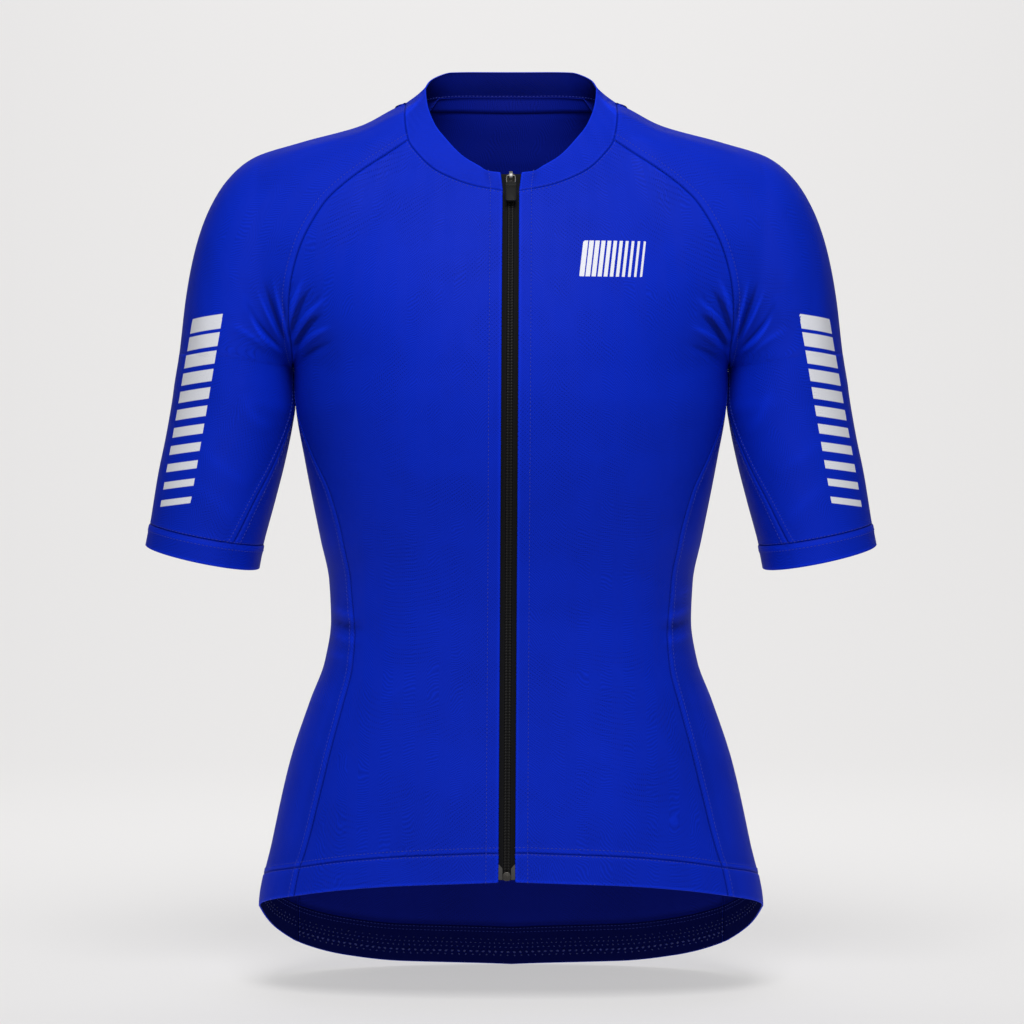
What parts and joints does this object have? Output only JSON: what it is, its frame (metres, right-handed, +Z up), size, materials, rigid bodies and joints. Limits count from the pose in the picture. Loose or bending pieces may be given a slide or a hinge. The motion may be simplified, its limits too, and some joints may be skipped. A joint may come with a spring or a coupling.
{
  "type": "cycling jersey",
  "caption": "Short-sleeved full-zip cycling jersey with raglan sleeves, filled out as worn and hollow, with a low collar and a longer back",
  "frame": {"origin": "the middle line at the level of the shoulders, inside the neck, where the wearer's shoulders hold the jersey up", "axes": "+Z up to the collar, -Y out of the front, +X to the wearer's left"},
  "size_m": [0.533, 0.2284, 0.6715],
  "materials": {
    "jersey_cloth": "fine knitted polyester with a soft sheen",
    "band_cloth": "smooth folded elastane cloth",
    "zip_tape": "woven tape",
    "zip_plastic": "satin",
    "zip_metal": "satin",
    "zip_rubber": "matte"
  },
  "bodies": {
    "jersey": {"front_left": "jersey_cloth", "front_right": "jersey_cloth", "side_left": "jersey_cloth", "side_right": "jersey_cloth", "back": "jersey_cloth", "sleeve_left": "jersey_cloth", "sleeve_right": "jersey_cloth", "back_pockets": "jersey_cloth", "collar": "band_cloth", "cuff_left": "band_cloth", "cuff_right": "band_cloth", "hem_front_left": "band_cloth", "hem_front_right": "band_cloth", "hem_side_left": "band_cloth", "hem_side_right": "band_cloth", "hem_back": "band_cloth", "zip_tape_left": "zip_tape", "zip_tape_right": "zip_tape", "zip_chain": "zip_plastic", "zip_stop": "zip_plastic", "zip_slider": "zip_metal"},
    "zip_pull": {"zip_pull_loop": "zip_metal", "zip_pull_tab": "zip_rubber"}
  },
  "joints": [
    {"name": "pull_hinge", "type": "hinge", "parent": "jersey", "child": "zip_pull", "pos_m": [-0.00003, -0.06637, -0.05311], "axis": [-1, 0, 0], "range_deg": [0, 150]}
  ]
}
